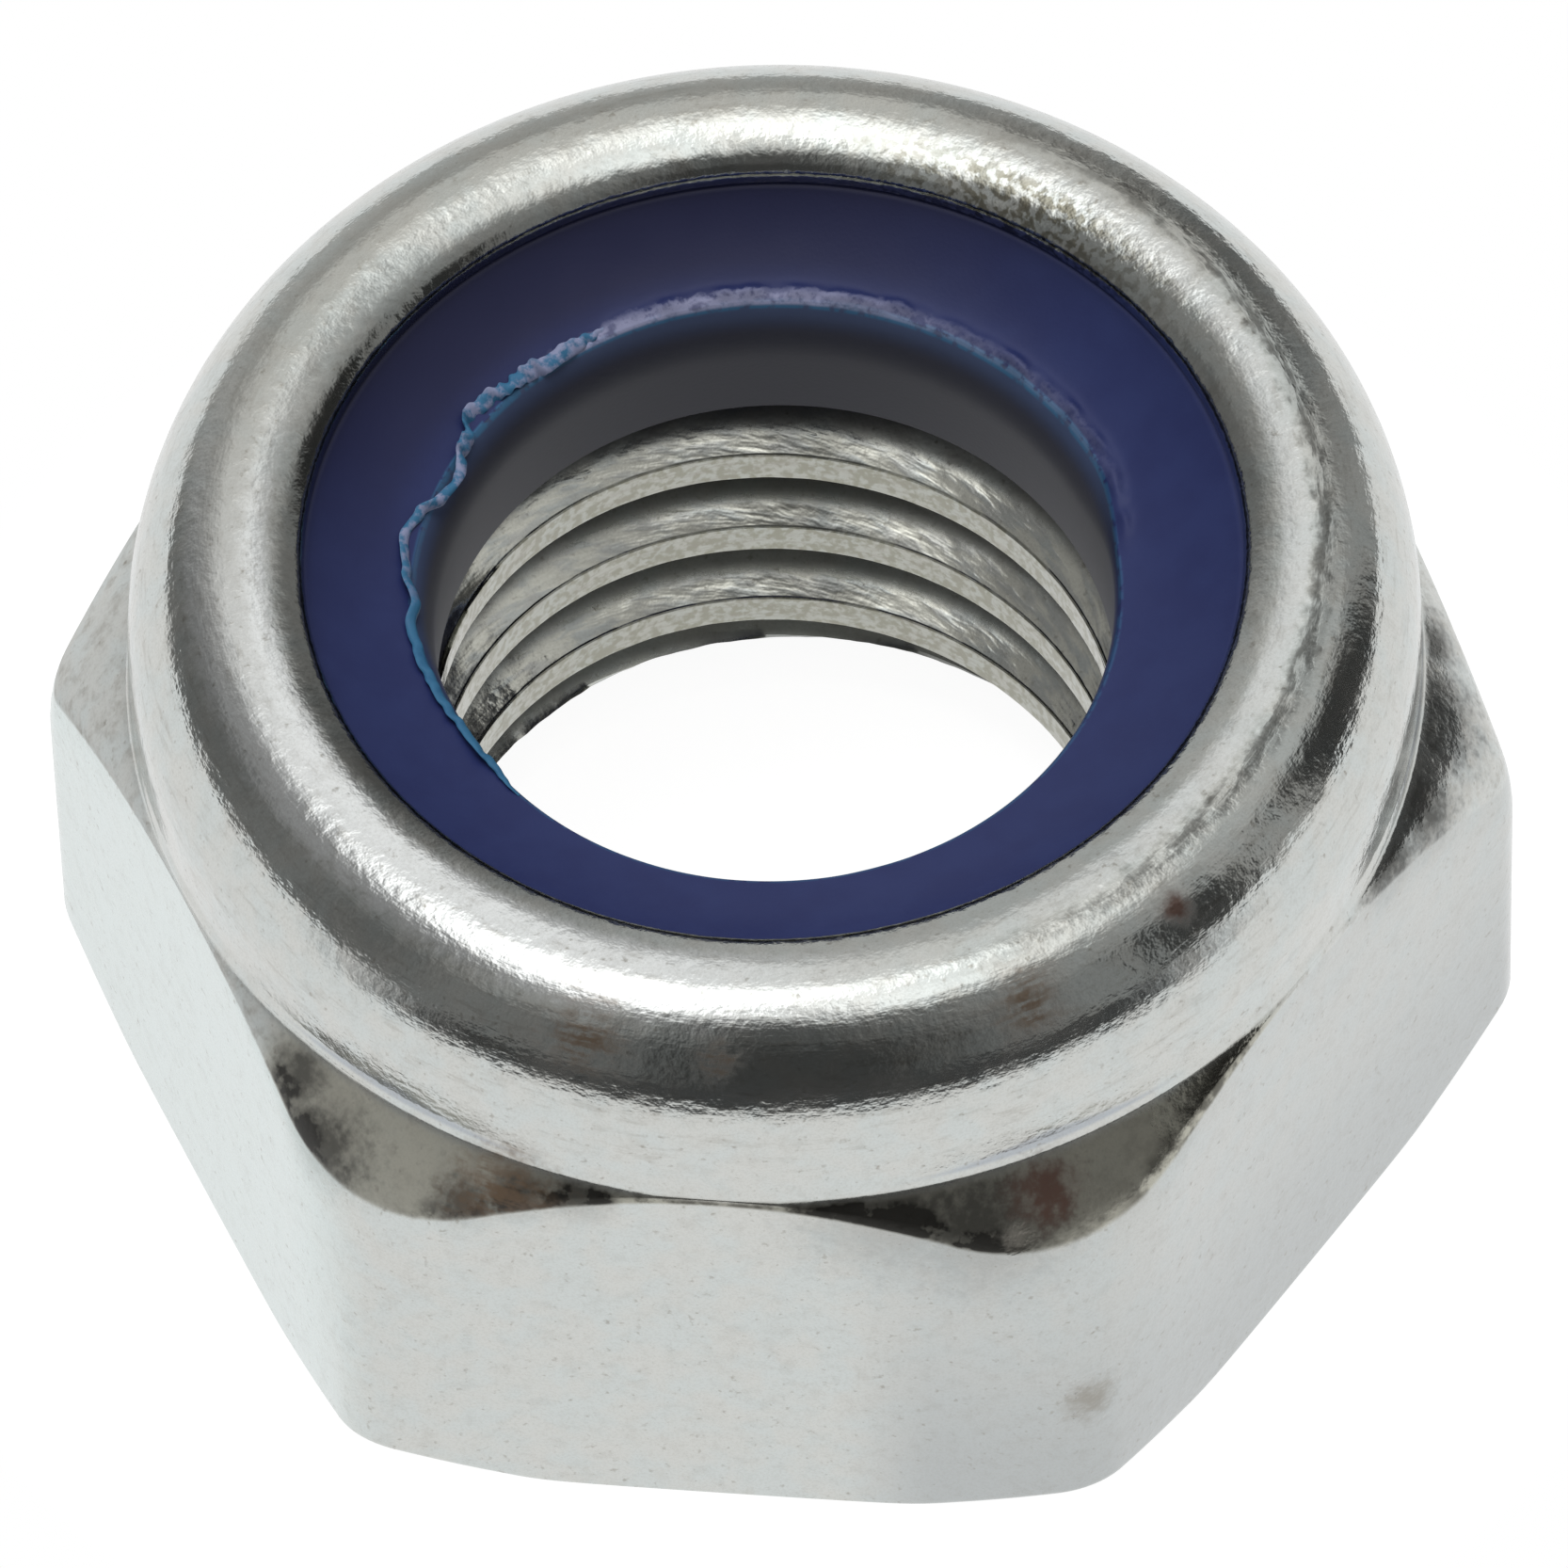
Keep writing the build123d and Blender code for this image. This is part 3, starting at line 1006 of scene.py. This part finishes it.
def buildDome(look):
    # the studio that the metal mirrors: a softbox overhead and a darker room with brighter and darker walls
    made, g = newMaterial("studioDome")
    place = g.node("ShaderNodeTexCoord", None, (), "Object")
    where = g.node("ShaderNodeVectorMath", {"operation": "NORMALIZE"}, (place,))
    camera = sideways(look["viewAzimuth"])
    right = sideways(look["viewAzimuth"] + 90)
    climb = dot(g, where, (0, 0, 1)).math("ARCSINE") * (180 / math.pi)
    side = dot(g, where, right).math("ARCTAN2", dot(g, where, camera)) / (2 * math.pi) + 0.5

    def wall(values):
        stops = tuple((at / 360 + 0.5, (v, v, v * 0.98)) for at, v in values)
        return g.node("ShaderNodeValToRGB", {"stops": stops}, (side,))

    shade = g.mix(g.step(climb, *look["roomBlend"]), wall(look["lowRoom"]), wall(look["highRoom"]))
    box = g.mix(1.0, wall(look["boxShare"]), gray(look["boxRadiance"]), "MULTIPLY")
    shade = g.mix(1 - g.step(90.0 - climb, look["boxInner"], look["boxOuter"]), shade, box)
    g.node("ShaderNodeOutputMaterial", None, (emission(g, shade),))
    onlyMirrored(made)
    columns, up = 64, 24
    points, faces = [Vector((0, 0, look["domeRadius"]))], []
    for ringIndex in range(up):
        height = 90.0 * (up - 1 - ringIndex) / up
        for k in range(columns):
            points.append(sideways(360.0 * k / columns, height) * look["domeRadius"])
    for k in range(columns):
        n = (k + 1) % columns
        faces.append((0, 1 + n, 1 + k))
        for ringIndex in range(up - 1):
            low, high = 1 + ringIndex * columns, 1 + (ringIndex + 1) * columns
            faces.append((low + k, low + n, high + n, high + k))
    dome = newMesh("studioDome", points, faces, made)
    dome.visible_camera = False
    dome.visible_diffuse = False
    dome.visible_shadow = False
    return dome


def buildLight(look):
    lamp = bpy.data.lights.new("softbox", "AREA")
    lamp.shape = "DISK"
    lamp.size = 2 * look["lampRadius"]
    lamp.energy = look["lampRadiance"] * math.pi * math.pi * look["lampRadius"] ** 2
    holder = bpy.data.objects.new("softbox", lamp)
    above = sideways(look["viewAzimuth"] + look["lampTurn"], 90 - look["lampTilt"])
    holder.location = above * look["lampHeight"]
    holder.rotation_euler = above.to_track_quat("Z", "Y").to_euler()
    holder.visible_glossy = False
    bpy.context.scene.collection.objects.link(holder)
    world = bpy.data.worlds.new("studio")
    world.use_nodes = True
    world.cycles.sampling_method = "NONE"
    bpy.context.scene.world = world
    g = Graph(world.node_tree)
    seen = pathOf(g, "Is Camera Ray", "Is Glossy Ray", "Is Transmission Ray")
    shade = g.mix(seen, gray(look["worldLight"]), gray(1.0))
    sky = g.node("ShaderNodeBackground", None, {"Color": shade, "Strength": 1.0})
    g.node("ShaderNodeOutputWorld", None, (sky,))


def buildCamera(look):
    data = bpy.data.cameras.new("camera")
    data.lens = look["lens"]
    data.sensor_width = 36.0
    data.clip_start = 0.01
    data.clip_end = 20.0
    holder = bpy.data.objects.new("camera", data)
    bpy.context.scene.collection.objects.link(holder)
    back = sideways(look["viewAzimuth"], look["viewElevation"])
    place = (Vector(look["viewTarget"]) + back * look["viewDistance"]) * mm
    right = (-back).cross(Vector((0, 0, 1))).normalized()
    up = right.cross(-back)
    roll = math.radians(look["viewRoll"])
    tiltedRight = right * math.cos(roll) + up * math.sin(roll)
    tiltedUp = up * math.cos(roll) - right * math.sin(roll)
    matrix = Matrix((tiltedRight, tiltedUp, back)).transposed().to_4x4()
    matrix.translation = place
    holder.matrix_world = matrix
    bpy.context.scene.camera = holder


buildFloor(studio)
buildDome(studio)
buildLight(studio)
buildCamera(studio)
bpy.context.scene.view_settings.view_transform = "Standard"
print("studio ready")
